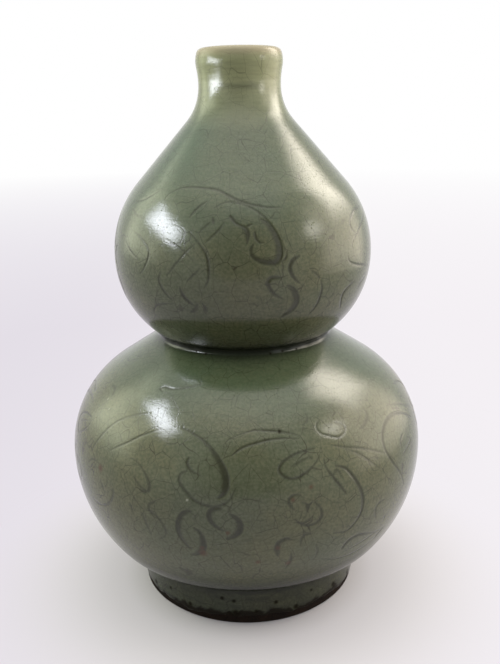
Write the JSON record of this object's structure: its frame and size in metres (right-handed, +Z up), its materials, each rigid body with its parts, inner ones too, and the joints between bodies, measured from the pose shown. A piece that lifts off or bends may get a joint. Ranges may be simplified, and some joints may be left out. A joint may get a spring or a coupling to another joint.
{
  "type": "double gourd vase",
  "caption": "Celadon-glazed stoneware vase in the double gourd form: round bulbs joined at a narrow waist, with a short flared neck, an upright foot ring and an incised scroll.",
  "frame": {"origin": "centre of the foot ring, in the plane that the vase stands on", "axes": "+Z up along the vase's axis, -Y towards the front face that is seen"},
  "size_m": [0.1982, 0.198, 0.3],
  "materials": {
    "stoneware": "unglazed, matt",
    "slip": "unglazed, matt",
    "celadon_glaze": "glossy crackled glaze"
  },
  "bodies": {
    "root": {"foot_ring": "stoneware", "lower_bulb_bowl": "stoneware", "lower_bulb_shoulder": "stoneware", "upper_bulb_bowl": "stoneware", "upper_bulb_shoulder": "stoneware", "neck_collar": "stoneware", "foot_lute": "slip", "lower_equator_lute": "slip", "waist_lute": "slip", "upper_equator_lute": "slip", "neck_lute": "slip", "outer_glaze": "celadon_glaze", "inner_glaze": "celadon_glaze", "base_glaze": "celadon_glaze"}
  },
  "joints": []
}
